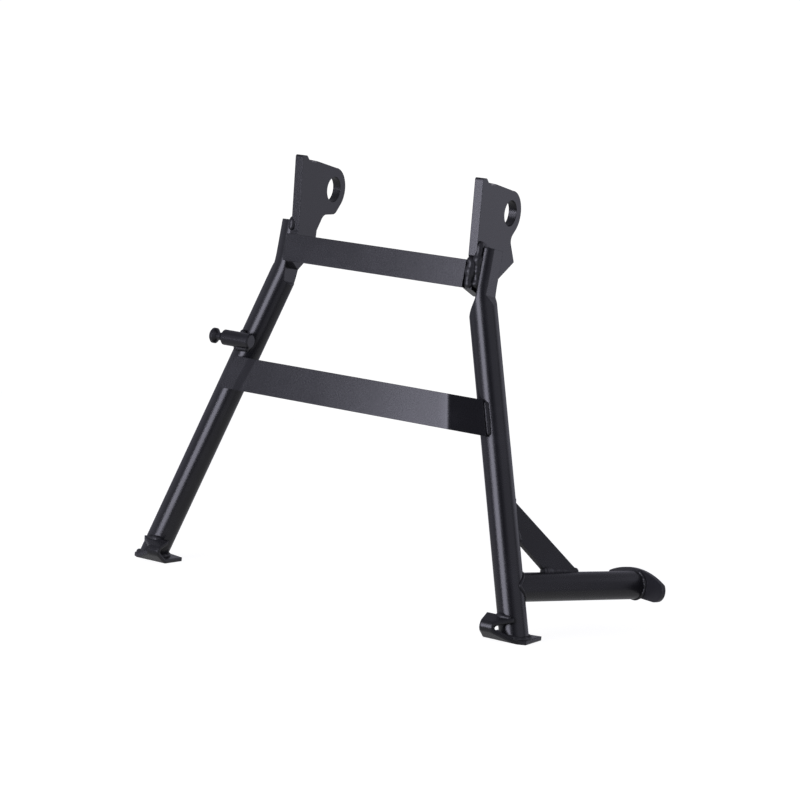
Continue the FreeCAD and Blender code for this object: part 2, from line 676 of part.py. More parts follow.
def leg_direction():
    """Downward direction of the right leg, in the row frame."""
    splay = math.radians(size("dims.splay"))
    return leaned(Vector(math.sin(splay), 0, -math.cos(splay)))


root = tang_start()
down = leg_direction()
turn_angle = math.radians(size("dims.tang_turn"))
outward = Vector(math.cos(turn_angle), math.sin(turn_angle), 0)
tang_end = root + outward * size("dims.tang_run")
leg_below = facing(root - down * size("dims.gusset_high + dims.overrun"), down)
CORE_LENGTH = "dims.gusset_high + 4 * dims.overrun"
leg_core = cylinder("leg_core", LEG_RADIUS, CORE_LENGTH, leg_below)
tang_outside = cylinder("tang_outside", "dims.tang_tube / 2", "dims.tang_run",
                        facing(root, outward))
tang_inside = cylinder("tang_inside", "dims.tang_tube / 2 - dims.leg_wall", "dims.tang_run",
                       facing(root, outward))
tang = cut_away("tang_tube", tang_outside, [tang_inside, leg_core])


def tread_outline(sketch):
    """Level bottom edge, two round ends tangent to it and a crowned top between them."""
    radius = size("dims.pad_end")
    crown = size("dims.pad_crown")
    middle = size("dims.pad_shift")
    reach = size("dims.pad_half") - radius
    end_z = size("dims.pad_low") + radius
    crown_z = size("dims.pad_top") - crown
    # The end circle and the crown circle meet where both distances hold.
    gap = math.hypot(reach, end_z - crown_z)
    along = (crown ** 2 - radius ** 2 + gap ** 2) / (2 * gap)
    off = math.sqrt(crown ** 2 - along ** 2)
    unit = Vector(reach / gap, (end_z - crown_z) / gap, 0)
    meet = unit * along + Vector(unit.y, -unit.x, 0) * off
    normal = Vector(0, 0, 1)
    bend = math.atan2(meet.y + crown_z - end_z, meet.x - reach)
    turn = math.atan2(meet.y, meet.x)
    ends = {}
    for side, start, stop in ((1, -math.pi / 2, bend), (-1, math.pi - bend, 3 * math.pi / 2)):
        ring = Part.Circle(Vector(middle + side * reach, end_z, 0), normal, radius)
        ends[side] = sketch.addGeometry(Part.ArcOfCircle(ring, start, stop), False)
    dome = Part.Circle(Vector(middle, crown_z, 0), normal, crown)
    top = sketch.addGeometry(Part.ArcOfCircle(dome, turn, math.pi - turn), False)
    floor = sketch.addGeometry(
        Part.LineSegment(Vector(middle - reach, end_z - radius, 0),
                         Vector(middle + reach, end_z - radius, 0)), False)
    for first, first_end, second, second_end in (
            (floor, 2, ends[1], 1), (ends[1], 2, top, 1),
            (top, 2, ends[-1], 1), (ends[-1], 2, floor, 1)):
        rule = Sketcher.Constraint("Coincident", first, first_end, second, second_end)
        sketch.addConstraint(rule)
    straight = "(dims.pad_half - dims.pad_end)"
    for side, name in ((1, "+"), (-1, "-")):
        across = f"dims.pad_shift {name} {straight}"
        pin_corner(sketch, ends[side], 3, (across, "dims.pad_low + dims.pad_end"))
        pin_corner(sketch, floor, 2 if side > 0 else 1, (across, "dims.pad_low"))
    pin_corner(sketch, top, 3, ("dims.pad_shift", "dims.pad_top - dims.pad_crown"))
    rule = sketch.addConstraint(Sketcher.Constraint("Radius", top, crown))
    sketch.setExpression(f"Constraints[{rule}]", "dims.pad_crown")


def tread_plate():
    """Crowned plate square to the tang, on its outer end."""
    body = new_body("tang_pad")
    face = new_sketch(body, "face", "XY_Plane")
    tread_outline(face)
    add_pad(body, face, "dims.pad_plate")
    sideways = outward.cross(Vector(0, 0, 1))
    turn = Rotation(sideways, Vector(0, 0, 1), sideways.cross(Vector(0, 0, 1)), "ZYX")
    body.Placement = Placement(tang_end + outward * size("dims.pad_plate"), turn)
    return body


pad = tread_plate()


def gusset_plate():
    """Flat brace in the plane of the two tube axes, with its inner corner clipped."""
    body = new_body("tang_gusset")
    face = new_sketch(body, "face", "XY_Plane")
    draw_outline(face, [
        (LEG_RADIUS, "dims.gusset_high"), (LEG_RADIUS, "dims.gusset_clip_high"),
        ("dims.gusset_clip_far", "dims.tang_tube / 2"),
        ("dims.gusset_far", "dims.tang_tube / 2")])
    add_pad(body, face, "dims.gusset_plate", middle=True)
    normal = down.cross(outward)
    turn = Rotation(outward, normal.cross(outward), normal, "ZXY")
    body.Placement = Placement(root, turn)
    return body


gusset = gusset_plate()


# Weld beads, each trimmed to the pieces that it joins.

def leg_point(x, y, z):
    """Point given by expressions in the leg frame, in the row frame."""
    return leaned(Vector(size(x), size(y), size(z)))


COPE_HALF = "sqrt((dims.leg_tube / 2) ^ 2 - dims.leg_seat ^ 2)"
RELIEF_REST = "(dims.relief_high - dims.leg_seat * cos(dims.relief_turn))"


def lug_weld(label, face, ahead, foot, tools):
    """Bead over the top of a leg tube and down both sides of its joint with the lug."""
    rear = f"({COPE_HALF} - dims.leg_back)"
    front = f"(-dims.leg_back - {ahead})"
    stops = [leg_point(face, rear, "dims.lug_tail + 2 * dims.lug_bead"),
             leg_point(face, rear, "dims.leg_top"), leg_point(face, front, "dims.leg_top"),
             leg_point(face, front, foot)]
    cut_away(label, bead_along(label, stops, "dims.lug_bead"), tools)


lug_weld("left_lug_weld", f"-{LUG_OUTER}", COPE_HALF, f"{STEP_HIGH} + dims.lug_bead",
         [left_lug, left_leg])
lug_weld("right_lug_weld", LUG_OUTER, f"({RELIEF_REST} / sin(dims.relief_turn) + dims.bead_bite)",
         "dims.lug_tail + 2 * dims.lug_bead", [right_lug, right_leg])
strap_face = f"{STRAP_BACK} - dims.bead_bite"
for side, x, lug, leg in (("left", f"-({LUG_OUTER} + dims.bead_bite)", left_lug, left_leg),
                          ("right", f"{UPPER_RIGHT} + dims.upper_bead_gap", right_lug, right_leg)):
    label = f"upper_strap_{side}_weld"
    ends = [leg_point(x, strap_face, "dims.upper_strap_top - dims.upper_bead_stop"),
            leg_point(x, strap_face, f"{UPPER_LOW} + dims.upper_bead_stop")]
    cut_away(label, bead_along(label, ends, "dims.strap_bead"), [upper_strap, lug, leg])
for side, sign, leg in (("left", "-", left_leg), ("right", "", right_leg)):
    label = f"lower_strap_{side}_weld"
    ends = [leg_point(f"{sign}({lower_end(level)} + dims.bead_bite)", strap_face, level)
            for level in ("dims.lower_strap_top - dims.lower_bead_stop",
                          f"{LOWER_LOW} + dims.lower_bead_stop")]
    cut_away(label, bead_along(label, ends, "dims.strap_bead"), [lower_strap, leg])

for label, sign, size_name in (("spring_post_weld", "-", "post_bead"),
                               ("spring_post_tack", "+", "post_tack")):
    level = f"dims.post_height {sign} dims.post_rod / 2"
    axis = f"-{leg_axis_x('dims.post_height')}"
    front = f"{STRAP_BACK} - dims.bead / 2"
    stops = [leg_point(f"{axis} + dims.{size_name}_inner", front, level),
             leg_point(f"{axis} - dims.{size_name}_outer", front, level)]
    cut_away(label, bead_along(label, stops, "dims.bead"), [post, left_leg])


def foot_welds():
    """Ring bead on the right sole and bead between tongue and leg."""
    ring = cylinder("sole_ring", f"{LEG_RADIUS} + dims.sole_bead", CORE_LENGTH, leg_below)
    slab = box(
        "sole_slab",
        ("dims.sole_inner + dims.sole_margin", "dims.foot_fold + dims.bead_bite", SOLE_TOP),
        ("dims.sole_outer_back - dims.sole_margin", "0", f"{SOLE_TOP} + dims.sole_bead"))
    common = doc.addObject("Part::Common", "sole_ring_slab")
    common.Base = ring
    common.Tool = slab
    sole = cut_away("right_sole_weld", common, [leg_core, right_foot])
    axis_x = leg_axis_x(TONGUE_END[1])
    level = f"{TONGUE_END[1]} + dims.bead / 3"
    front = f"{TONGUE_END[0]} - dims.bead / 3"
    stops = [Vector(size(f"{axis_x} {reach}"), size(front), size(level))
             for reach in ("- dims.tongue_bead_inner", "+ dims.tongue_bead_outer")]
    toe = cut_away("right_tongue_weld", bead_along("right_tongue_weld", stops, "dims.bead"),
                   [right_foot, leg_core])
    return sole, toe


sole_weld, tongue_weld = foot_welds()
mirrored("left_sole_weld", sole_weld)
mirrored("left_tongue_weld", tongue_weld)

tang_ring = cylinder("tang_ring", "dims.tang_tube / 2 + dims.ring_bead",
                     "3 * dims.overrun", facing(root, outward))
leg_ring = cylinder("leg_ring", f"{LEG_RADIUS} + dims.ring_bead", CORE_LENGTH, leg_below)
saddle = doc.addObject("Part::Common", "tang_saddle")
saddle.Base = tang_ring
saddle.Tool = leg_ring
cut_away("tang_weld", saddle, [leg_core, tang_outside])

pad_ring = doc.addObject("Part::Cone", "pad_ring")
pad_ring.setExpression("Radius1", "dims.tang_tube / 2 + dims.pad_bead_toe")
pad_ring.setExpression("Radius2", "dims.tang_tube / 2 + dims.ring_bead")
pad_ring.setExpression("Height", "dims.ring_bead")
pad_ring.Placement = facing(tang_end - outward * size("dims.ring_bead"), outward)
cut_away("pad_weld", pad_ring, [tang_outside])


def gusset_point(far, high):
    """Point in the gusset's plane, by its distances along the tang and up the leg."""
    return gusset.Placement.multVec(Vector(size(far), size(high), 0))


leg_seat_ends = [gusset_point(LEG_RADIUS, "dims.gusset_clip_high - dims.bead / 3"),
                 gusset_point(LEG_RADIUS, "dims.gusset_high + dims.bead / 3")]
cut_away("gusset_leg_weld", bead_along("gusset_leg_weld", leg_seat_ends, "dims.bead"),
         [gusset, leg_core])
tang_seat_ends = [gusset_point("dims.gusset_clip_far - dims.bead / 3", "dims.tang_tube / 2"),
                  gusset_point("dims.gusset_far + dims.bead / 3", "dims.tang_tube / 2")]
cut_away("gusset_tang_weld", bead_along("gusset_tang_weld", tang_seat_ends, "dims.bead"),
         [gusset, tang_outside])

PIECES = (
    "left_pivot_lug", "right_pivot_lug", "left_leg_tube", "right_leg_tube",
    "upper_cross_strap", "lower_cross_strap", "left_foot", "right_foot",
    "spring_post", "tang_tube", "tang_gusset", "tang_pad",
    "left_lug_weld", "right_lug_weld", "upper_strap_left_weld", "upper_strap_right_weld",
    "lower_strap_left_weld", "lower_strap_right_weld", "left_sole_weld", "right_sole_weld",
    "left_tongue_weld", "right_tongue_weld", "spring_post_weld", "spring_post_tack",
    "tang_weld", "pad_weld", "gusset_leg_weld", "gusset_tang_weld",
)

doc.recompute()
for item in doc.Objects:
    if {"Invalid", "Error"} & set(item.State):
        raise RuntimeError(f"{item.Label} did not build: {item.State}")

os.makedirs("parts", exist_ok=True)
for label in PIECES:
    shape = doc.getObjectsByLabel(label)[0].Shape
    if shape.isNull() or not shape.isValid():
        raise RuntimeError(f"{label} has no valid shape")
    shape.exportStep(f"parts/{label}.step")
    print(label, len(shape.Solids), round(shape.Volume, 1))
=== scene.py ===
"""Looks of the motorcycle centre stand: powder coat, rippled welds, worn lug tops, studio."""
import logging
import math
from dataclasses import dataclass, field
from enum import Enum

import bmesh
import bpy
from mathutils import Matrix, Vector


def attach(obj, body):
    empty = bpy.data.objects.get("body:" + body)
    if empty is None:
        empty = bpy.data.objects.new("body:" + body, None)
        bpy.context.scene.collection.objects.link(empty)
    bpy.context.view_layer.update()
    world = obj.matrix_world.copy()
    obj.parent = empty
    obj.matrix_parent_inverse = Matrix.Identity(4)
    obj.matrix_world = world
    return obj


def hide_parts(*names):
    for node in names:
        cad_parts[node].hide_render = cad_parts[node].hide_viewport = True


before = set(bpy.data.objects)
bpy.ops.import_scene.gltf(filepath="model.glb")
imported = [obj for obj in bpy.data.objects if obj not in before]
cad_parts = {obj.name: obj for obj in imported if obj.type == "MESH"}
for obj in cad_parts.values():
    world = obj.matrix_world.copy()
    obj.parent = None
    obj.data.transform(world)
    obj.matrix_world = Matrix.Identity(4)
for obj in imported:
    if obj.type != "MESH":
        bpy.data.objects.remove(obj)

LOG = logging.getLogger("centre_stand")
MM = 0.001
RESIN_IOR = 1.5

Pair = tuple[float, float]
Triple = tuple[float, float, float]
Colour = tuple[float, float, float, float]


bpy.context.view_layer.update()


def shade(red: float, green: float, blue: float) -> Colour:
    """Opaque linear colour."""
    return (red, green, blue, 1.0)


def metres(values: tuple[float, ...]) -> tuple[float, ...]:
    """Millimetres as metres."""
    return tuple(value * MM for value in values)


def turns(count: int) -> list[float]:
    """Angles evenly round a circle, from 0."""
    return [math.tau * k / count for k in range(count)]


def circle(side: Vector, over: Vector, count: int) -> list[Vector]:
    """Directions evenly round a circle, from side and then over."""
    return [side * math.cos(turn) + over * math.sin(turn) for turn in turns(count)]


# Shader maths

@dataclass(frozen=True)
class Grain:
    """A noise: features per metre, octaves and the weight of the finer octaves."""

    scale: float
    detail: float = 2.0
    rough: float = 0.5


class Signal:
    """One number that varies over a surface, with the operators that shaders need."""

    def __init__(self, graph: "Graph", socket: bpy.types.NodeSocket) -> None:
        """Wrap an output socket of a graph."""
        self.graph = graph
        self.socket = socket

    def _math(self, operation: str, first: object, second: object) -> "Signal":
        """Math node on two values."""
        return self.graph.node("ShaderNodeMath", {"operation": operation},
                               {0: first, 1: second})

    def __add__(self, other: object) -> "Signal":
        """Sum with a number or signal."""
        return self._math("ADD", self, other)

    __radd__ = __add__

    def __sub__(self, other: object) -> "Signal":
        """Difference from a number or signal."""
        return self._math("SUBTRACT", self, other)

    def __rsub__(self, other: object) -> "Signal":
        """Number minus this signal."""
        return self._math("SUBTRACT", other, self)

    def __mul__(self, other: object) -> "Signal":
        """Product with a number or signal."""
        return self._math("MULTIPLY", self, other)

    __rmul__ = __mul__

    def above(self, low: float, high: float) -> "Signal":
        """Rise smoothly from 0 at low to 1 at high.

        Args:
            low: value where the rise starts.
            high: value where it ends.

        Returns:
            The eased share between 0 and 1.
        """
        settings = {"interpolation_type": "SMOOTHSTEP"}
        return self.graph.node("ShaderNodeMapRange", settings,
                               {"Value": self, "From Min": low, "From Max": high})

    def held(self, limit: float) -> "Signal":
        """Value held between 0 and a limit."""
        return self._math("MINIMUM", self._math("MAXIMUM", self, 0.0), limit)


class Graph:
    """Node tree of one new material, built by Python calls."""

    def __init__(self, name: str) -> None:
        """Start a material.

        Args:
            name: its name.
        """
        self.material = bpy.data.materials.new(name)
        self.material.use_nodes = True
        self.tree = self.material.node_tree
        self.shader = self.tree.nodes["Principled BSDF"]

    def node(self, kind: str, settings: dict[str, object], inputs: dict[object, object],
             output: object = 0) -> Signal:
        """Add a node.

        Args:
            kind: node type.
            settings: properties of the node, set first.
            inputs: values or signals for its sockets.
            output: socket to return.

        Returns:
            The chosen output as a signal.
        """
        made = self.tree.nodes.new(kind)
        for name, value in settings.items():
            setattr(made, name, value)
        for name, value in inputs.items():
            if isinstance(value, Signal):
                self.tree.links.new(value.socket, made.inputs[name])
            else:
                made.inputs[name].default_value = value
        return Signal(self, made.outputs[output])

    def place(self) -> Signal:
        """Position in the part's own frame."""
        return self.node("ShaderNodeTexCoord", {}, {}, "Object")

    def axis(self, name: str) -> Signal:
        """One coordinate of the position, in metres."""
        return self.node("ShaderNodeSeparateXYZ", {}, {0: self.place()}, name)

    def noise(self, grain: Grain) -> Signal:
        """Noise between 0 and 1 in the part's own frame."""
        return self.node("ShaderNodeTexNoise", {}, {
            "Vector": self.place(), "Scale": grain.scale, "Detail": grain.detail,
            "Roughness": grain.rough})

    def mix(self, share: Signal, first: Colour | Signal, second: Colour) -> Signal:
        """Blend two colours.

        Args:
            share: how much of the second.
            first: colour or signal at 0.
            second: colour at 1.

        Returns:
            The blended colour.
        """
        # Sockets 6 and 7 are the node's two colours, and output 2 is their blend.
        return self.node("ShaderNodeMix", {"data_type": "RGBA"},
                         {0: share, 6: first, 7: second}, 2)

    def feed(self, name: str, value: object) -> None:
        """Give the shader a value.

        Args:
            name: socket of the shader.
            value: constant or signal for it.
        """
        if isinstance(value, Signal):
            self.tree.links.new(value.socket, self.shader.inputs[name])
        else:
            self.shader.inputs[name].default_value = value


# Finishes, with lengths in millimetres

class Crease(Enum):
    """How a flat bar's ends are set."""

    STRAIGHT = "straight"
    SET_BACK = "set_back"


@dataclass(frozen=True)
class Bend:
    """One bend across a bar: where it starts, its width and the slope that it adds."""

    start: float
    width: float
    slope: float


@dataclass(frozen=True)
class SetBack:
    """Relief of the lower strap: bends towards its right end, a slanting step at its left.

    Both lean by a share of the height over the level. The step's place is measured towards
    -X, and the reach lies beyond the strap's end.
    """

    level: float = -173.0
    bends: tuple[Bend, ...] = (
        Bend(-40.0, 100.0, 0.03), Bend(86.0, 9.0, 0.04), Bend(93.5, 6.0, 0.46))
    bend_lean: float = 0.2
    reach: float = 1000.0
    step_place: float = 113.5
    step_half: float = 4.8
    step_drop: float = 0.8
    step_lean: float = 0.38

    def lower(self, graph: Graph, height: Signal) -> Signal:
        """Take the relief from a height.

        Args:
            graph: node tree to build in.
            height: height of the flat bar's surface in metres.

        Returns:
            The lowered height in metres.
        """
        x, rise = graph.axis("X"), graph.axis("Z") - self.level * MM
        for bend in self.bends:
            width = bend.width * MM
            past = x - bend.start * MM + rise * self.bend_lean
            turn = past.held(width)
            fall = turn * turn * (0.5 / width) + past.held(self.reach * MM) - turn
            height = height - fall * bend.slope
        half = self.step_half * MM
        across = rise * self.step_lean - x - self.step_place * MM
        return height - across.above(-half, half) * (self.step_drop * MM)


@dataclass(frozen=True)
class Wear:
    """Bare metal in the notch of the lug tops, in a band across Y above a height."""

    front: Pair = (-44.2, -42.6)
    rear: Pair = (-36.0, -34.4)
    high: Pair = (22.3, 23.2)
    grain: Grain = Grain(900.0, 4.0, 0.7)
    patches: Pair = (0.42, 0.62)
    colour: Colour = shade(0.33, 0.32, 0.31)
    metallic: float = 0.8

    def share(self, graph: Graph) -> Signal:
        """Share of bare metal.

        Args:
            graph: node tree to build in.

        Returns:
            Mask between 0 and 1.
        """
        y, z = graph.axis("Y"), graph.axis("Z")
        band = y.above(*metres(self.front)) * (1.0 - y.above(*metres(self.rear)))
        patchy = graph.noise(self.grain).above(*self.patches)
        return band * z.above(*metres(self.high)) * patchy


@dataclass(frozen=True)
class PowderCoat:
    """Semi-gloss black powder coat with a fine orange peel and softened edges.

    Peel and waves are heights of the relief, and edge is the radius of the softening.
    """

    name: str
    colour: Colour = shade(0.0088, 0.0088, 0.0104)
    pale: Colour = shade(0.0135, 0.0135, 0.0158)
    cloud_grain: Grain = Grain(28.0, 3.0, 0.6)
    clouds: Pair = (0.4, 0.75)
    roughness: float = 0.27
    fine_grain: Grain = Grain(1500.0)
    unevenness: float = 0.05
    peel: float = 0.018
    peel_grain: Grain = Grain(620.0, 3.0)
    waves: float = 0.05
    wave_grain: Grain = Grain(45.0, 1.0)
    edge: float = 0.55
    samples: int = 4
    crease: Crease = Crease.STRAIGHT
    set_back: SetBack = SetBack()
    worn: bool = False
    wear: Wear = Wear()

    def _height(self, graph: Graph) -> Signal:
        """Height of the surface in metres: peel, slow waves and any set-back end.

        Args:
            graph: node tree to build in.

        Returns:
            The height signal.
        """
        height = (graph.noise(self.peel_grain) * (self.peel * MM)
                  + graph.noise(self.wave_grain) * (self.waves * MM))
        if self.crease is Crease.SET_BACK:
            height = self.set_back.lower(graph, height)
        return height

    def make(self) -> bpy.types.Material:
        """Build the material.

        Returns:
            The material.
        """
        graph = Graph(self.name)
        cloudy, fine = graph.noise(self.cloud_grain), graph.noise(self.fine_grain)
        colour = graph.mix(cloudy.above(*self.clouds), self.colour, self.pale)
        rough = fine * self.unevenness + cloudy * self.unevenness
        if self.worn:
            bare = self.wear.share(graph)
            colour = graph.mix(bare, colour, self.wear.colour)
            graph.feed("Metallic", bare * self.wear.metallic)
        graph.feed("Base Color", colour)
        graph.feed("Roughness", rough + (self.roughness - self.unevenness))
        graph.feed("IOR", RESIN_IOR)
        soft = graph.node("ShaderNodeBevel", {"samples": self.samples},
                          {"Radius": self.edge * MM})
        graph.feed("Normal", graph.node("ShaderNodeBump", {}, {
            "Strength": 1.0, "Distance": 1.0, "Height": self._height(graph), "Normal": soft}))
        return graph.material


@dataclass(frozen=True)
class WeldCoat:
    """Powder coat over a weld bead, pooled smooth between the ripples."""

    name: str
    colour: Colour = shade(0.0092, 0.0092, 0.0108)
    pale: Colour = shade(0.017, 0.017, 0.019)
    patch_grain: Grain = Grain(260.0, 3.0, 0.6)
    patches: Pair = (0.45, 0.8)
    roughness: float = 0.40
    unevenness: float = 0.14
    grit: float = 0.015
    grit_grain: Grain = Grain(420.0, 2.0)

    def make(self) -> bpy.types.Material:
        """Build the material.

        Returns:
            The material.
        """
        graph = Graph(self.name)
        patchy = graph.noise(self.patch_grain)
        graph.feed("Base Color", graph.mix(patchy.above(*self.patches), self.colour, self.pale))
        graph.feed("Roughness", patchy * self.unevenness
                   + (self.roughness - self.unevenness / 2))
        graph.feed("IOR", RESIN_IOR)
        graph.feed("Normal", graph.node("ShaderNodeBump", {}, {
            "Strength": 1.0, "Distance": 1.0,
            "Height": graph.noise(self.grit_grain) * (self.grit * MM)}))
        return graph.material


def dress(node: str, material: bpy.types.Material) -> None:
    """Put one material on every slot of a CAD node.

    Args:
        node: node name.
        material: finish to show.
    """
    LOG.info("%s dressed in %s", node, material.name)
    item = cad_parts[node]
    if not item.material_slots:
        item.data.materials.append(material)
    for place in item.material_slots:
        place.material = material


# Layout shared by the pieces, in millimetres of the upright leg frame

@dataclass(frozen=True)
class Layout:
    """Sizes of the frame that the weld beads follow, with angles in degrees.

    The sole's top and the tang's height are heights in the part's own frame.
    """

    lean: float = 6.5
    lug_inner: float = 86.95
    lug_outer: float = 94.95
    leg_back: float = 35.05
    leg_seat: float = 4.05
    leg_radius: float = 12.5
    leg_top: float = -36.0
    bend_height: float = -75.0
    splay: float = 17.35
    sole_top: float = -350.8
    tang_height: float = -311.3
    tang_turn: float = 68.0

    @property
    def strap_back(self) -> float:
        """Front of the legs, where the straps lie."""
        return -self.leg_back - self.leg_radius

    def point(self, x: float, y: float, z: float) -> Vector:
        """Point of the leg frame, leaned forward, in metres."""
        return Matrix.Rotation(-math.radians(self.lean), 3, "X") @ Vector((x, y, z)) * MM

    def leg_x(self, z: float) -> float:
        """X of the right leg's axis at a height below the bend."""
        slope = math.tan(math.radians(self.splay))
        return self.lug_outer + self.leg_seat + (self.bend_height - z) * slope

    def down(self) -> Vector:
        """Direction of the right leg below its bend."""
        angle = math.radians(self.splay)
        return self.point(math.sin(angle), 0, -math.cos(angle)).normalized()

    def tang_root(self) -> Vector:
        """Point of the right leg's axis at the height of the tang.

        Returns:
            The point in metres.
        """
        lean = math.radians(self.lean)
        z = (self.tang_height - self.leg_back * math.sin(lean)) / math.cos(lean)
        return self.point(self.leg_x(z), -self.leg_back, z)

    def tang_out(self) -> Vector:
        """Direction of the tang."""
        angle = math.radians(self.tang_turn)
        return Vector((math.cos(angle), math.sin(angle), 0))


LAYOUT = Layout()


@dataclass
class Bead:
    """One weld bead: a rippled rope of metal along a line, round at its ends.

    Radius, pitch and step are in millimetres, and the line is in metres. Ripple and wander
    are shares of the radius, and the waves are in radians for each radius of run. The swell
    scales the radius at even stops along the bead.
    """

    name: str
    node: str
    line: list[Vector]
    radius: float
    closed: bool = False
    pitch: float = 2.3
    ripple: float = 0.11
    crest: float = 0.6
    slant: float = 0.22
    wander: float = 0.16
    slow_share: float = 0.5
    slow_wave: float = 2.2
    lump_share: float = 0.05
    lump_wave: float = 3.4
    swell: tuple[float, ...] = (1.0,)
    phase: float = 0.0
    tip: float = 0.02
    sides: int = 16
    step: float = 0.36
    easing: int = 14
    first_side: Triple = (0.31, 0.17, 0.93)

    def _walk(self) -> list[Vector]:
        """Walk the line at even steps.

        Returns:
            The points in metres.
        """
        stops = self.line + self.line[:1] if self.closed else self.line
        walked: list[Vector] = []
        for start, end in zip(stops, stops[1:]):
            count = max(1, round((end - start).length / (self.step * MM)))
            walked += [start.lerp(end, i / count) for i in range(count)]
        return walked if self.closed else walked + [stops[-1]]

    def _smooth(self, points: list[Vector]) -> list[Vector]:
        """Ease the corners: each point moves halfway to its neighbours' middle, many times.

        Args:
            points: line to ease.

        Returns:
            The eased line.
        """
        count = len(points)
        for _ in range(self.easing):
            eased = []
            for i, point in enumerate(points):
                if self.closed or 0 < i < count - 1:
                    point = (points[i - 1] + points[(i + 1) % count]) / 4 + point / 2
                eased.append(point)
            points = eased
        return points

    def _size(self, run: float, total: float, angle: float) -> float:
        """Radius at a place on the bead.

        Args:
            run: distance along the bead in millimetres.
            total: its length.
            angle: place round the section.

        Returns:
            Radius in metres.
        """
        turn = math.tau * (run / self.pitch + self.slant * math.cos(angle)) + self.phase
        scallop = abs(math.sin(turn / 2)) - self.crest
        radii = run / self.radius
        slow = (math.sin(radii * self.slow_wave + self.phase * 3)
                + math.sin(radii + self.phase)) / 2
        lumps = (math.sin(radii * self.lump_wave + 2 * angle + self.phase)
                 * self.wander * self.lump_share)
        size = self.radius * (1 + self.ripple * scallop
                              + self.wander * slow * self.slow_share + lumps)
        place = run / total * (len(self.swell) - 1)
        first = min(int(place), max(0, len(self.swell) - 2))
        last = min(first + 1, len(self.swell) - 1)
        size *= self.swell[first] + (self.swell[last] - self.swell[first]) * (place - first)
        if not self.closed:
            near = min(run, total - run) / self.radius
            size *= math.sqrt(max(self.tip, 1 - max(0.0, 1 - near) ** 2))
        return size * MM

    def _rings(self, mesh: bmesh.types.BMesh) -> list[list[bmesh.types.BMVert]]:
        """Set rings of points round the eased line.

        Args:
            mesh: mesh to put them in.

        Returns:
            The rings in order.
        """
        points = self._smooth(self._walk())
        count = len(points)
        total = sum((b - a).length for a, b in zip(points, points[1:])) / MM
        rings, run = [], 0.0
        side = Vector(self.first_side)
        for i, point in enumerate(points):
            back = points[i - 1] if self.closed or i else point
            ahead = points[(i + 1) % count] if self.closed or i < count - 1 else point
            along = (ahead - back).normalized()
            side = (side - along * side.dot(along)).normalized()
            outs = circle(side, along.cross(side), self.sides)
            rings.append([mesh.verts.new(point + out * self._size(run, total, angle))
                          for angle, out in zip(turns(self.sides), outs)])
            if i < count - 1:
                run += (points[i + 1] - point).length / MM
        return rings

    def build(self, material: bpy.types.Material) -> None:
        """Make the mesh, show it for its CAD node and put it on the part.

        Args:
            material: coat of the bead.
        """
        mesh = bmesh.new()
        rings = self._rings(mesh)
        pairs = list(zip(rings, rings[1:])) + ([(rings[-1], rings[0])] if self.closed else [])
        for first, second in pairs:
            for k in range(self.sides):
                after = (k + 1) % self.sides
                mesh.faces.new((first[k], first[after], second[after], second[k]))
        if not self.closed:
            mesh.faces.new(list(reversed(rings[0])))
            mesh.faces.new(rings[-1])
        bmesh.ops.recalc_face_normals(mesh, faces=mesh.faces)
        data = bpy.data.meshes.new(self.name)
        mesh.to_mesh(data)
        mesh.free()
        data.shade_smooth()
        data.materials.append(material)
        made = bpy.data.objects.new(self.name, data)
        bpy.context.scene.collection.objects.link(made)
        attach(made, "root")
        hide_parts(self.node)
        LOG.info("%s laid for %s", self.name, self.node)


# Sub-assemblies, with sizes in millimetres

@dataclass
class PivotLugs:
    """The two lugs and the beads that join the upper leg ends to them.

    The front stops of each bead are places from the lug's outer face, the front of the leg
    end and its top.
    """

    bead: float = 3.6
    rear_low: float = -68.0
    relief_front: float = -40.5
    left_stops: tuple[Triple, ...] = ((0.0, 0.0, 1.0), (0.5, -0.5, -9.4))
    right_stops: tuple[Triple, ...] = (
        (0.0, 3.0, 0.0), (0.3, -6.0, 2.4), (0.8, -5.5, -11.0), (2.0, -2.5, -35.5))
    rear_swell: tuple[float, ...] = (0.5, 0.5, 0.45, 0.45)
    left_swell: tuple[float, ...] = (0.6, 0.95, 1.0)
    right_swell: tuple[float, ...] = (0.6, 0.9, 1.15, 1.25, 1.3, 1.2)

    def build(self, weld: bpy.types.Material) -> None:
        """Lay the beads over the leg ends and down beside the lugs.

        Args:
            weld: coat of the beads.
        """
        lay = LAYOUT
        half = math.sqrt(lay.leg_radius ** 2 - lay.leg_seat ** 2)
        for name, sign, front, stops, swell in (
                ("left", -1, -half - lay.leg_back, self.left_stops, self.left_swell),
                ("right", 1, self.relief_front, self.right_stops, self.right_swell)):
            out = sign * lay.lug_outer
            line = [lay.point(out, half - lay.leg_back, z) for z in (self.rear_low, lay.leg_top)]
            line += [lay.point(out + x, front + y, lay.leg_top + z) for x, y, z in stops]
            Bead(f"{name}_lug_bead", f"{name}_lug_weld", line, self.bead, phase=1.3,
                 wander=0.5, ripple=0.04, pitch=5.1, swell=self.rear_swell + swell).build(weld)

    def dress(self, coat: bpy.types.Material) -> None:
        """Coat the lugs."""
        for node in ("left_pivot_lug", "right_pivot_lug"):
            dress(node, coat)


@dataclass
class LegTubes:
    """The two bent leg tubes."""

    nodes: tuple[str, str] = ("left_leg_tube", "right_leg_tube")

    def dress(self, coat: bpy.types.Material) -> None:
        """Coat the tubes."""
        for node in self.nodes:
            dress(node, coat)


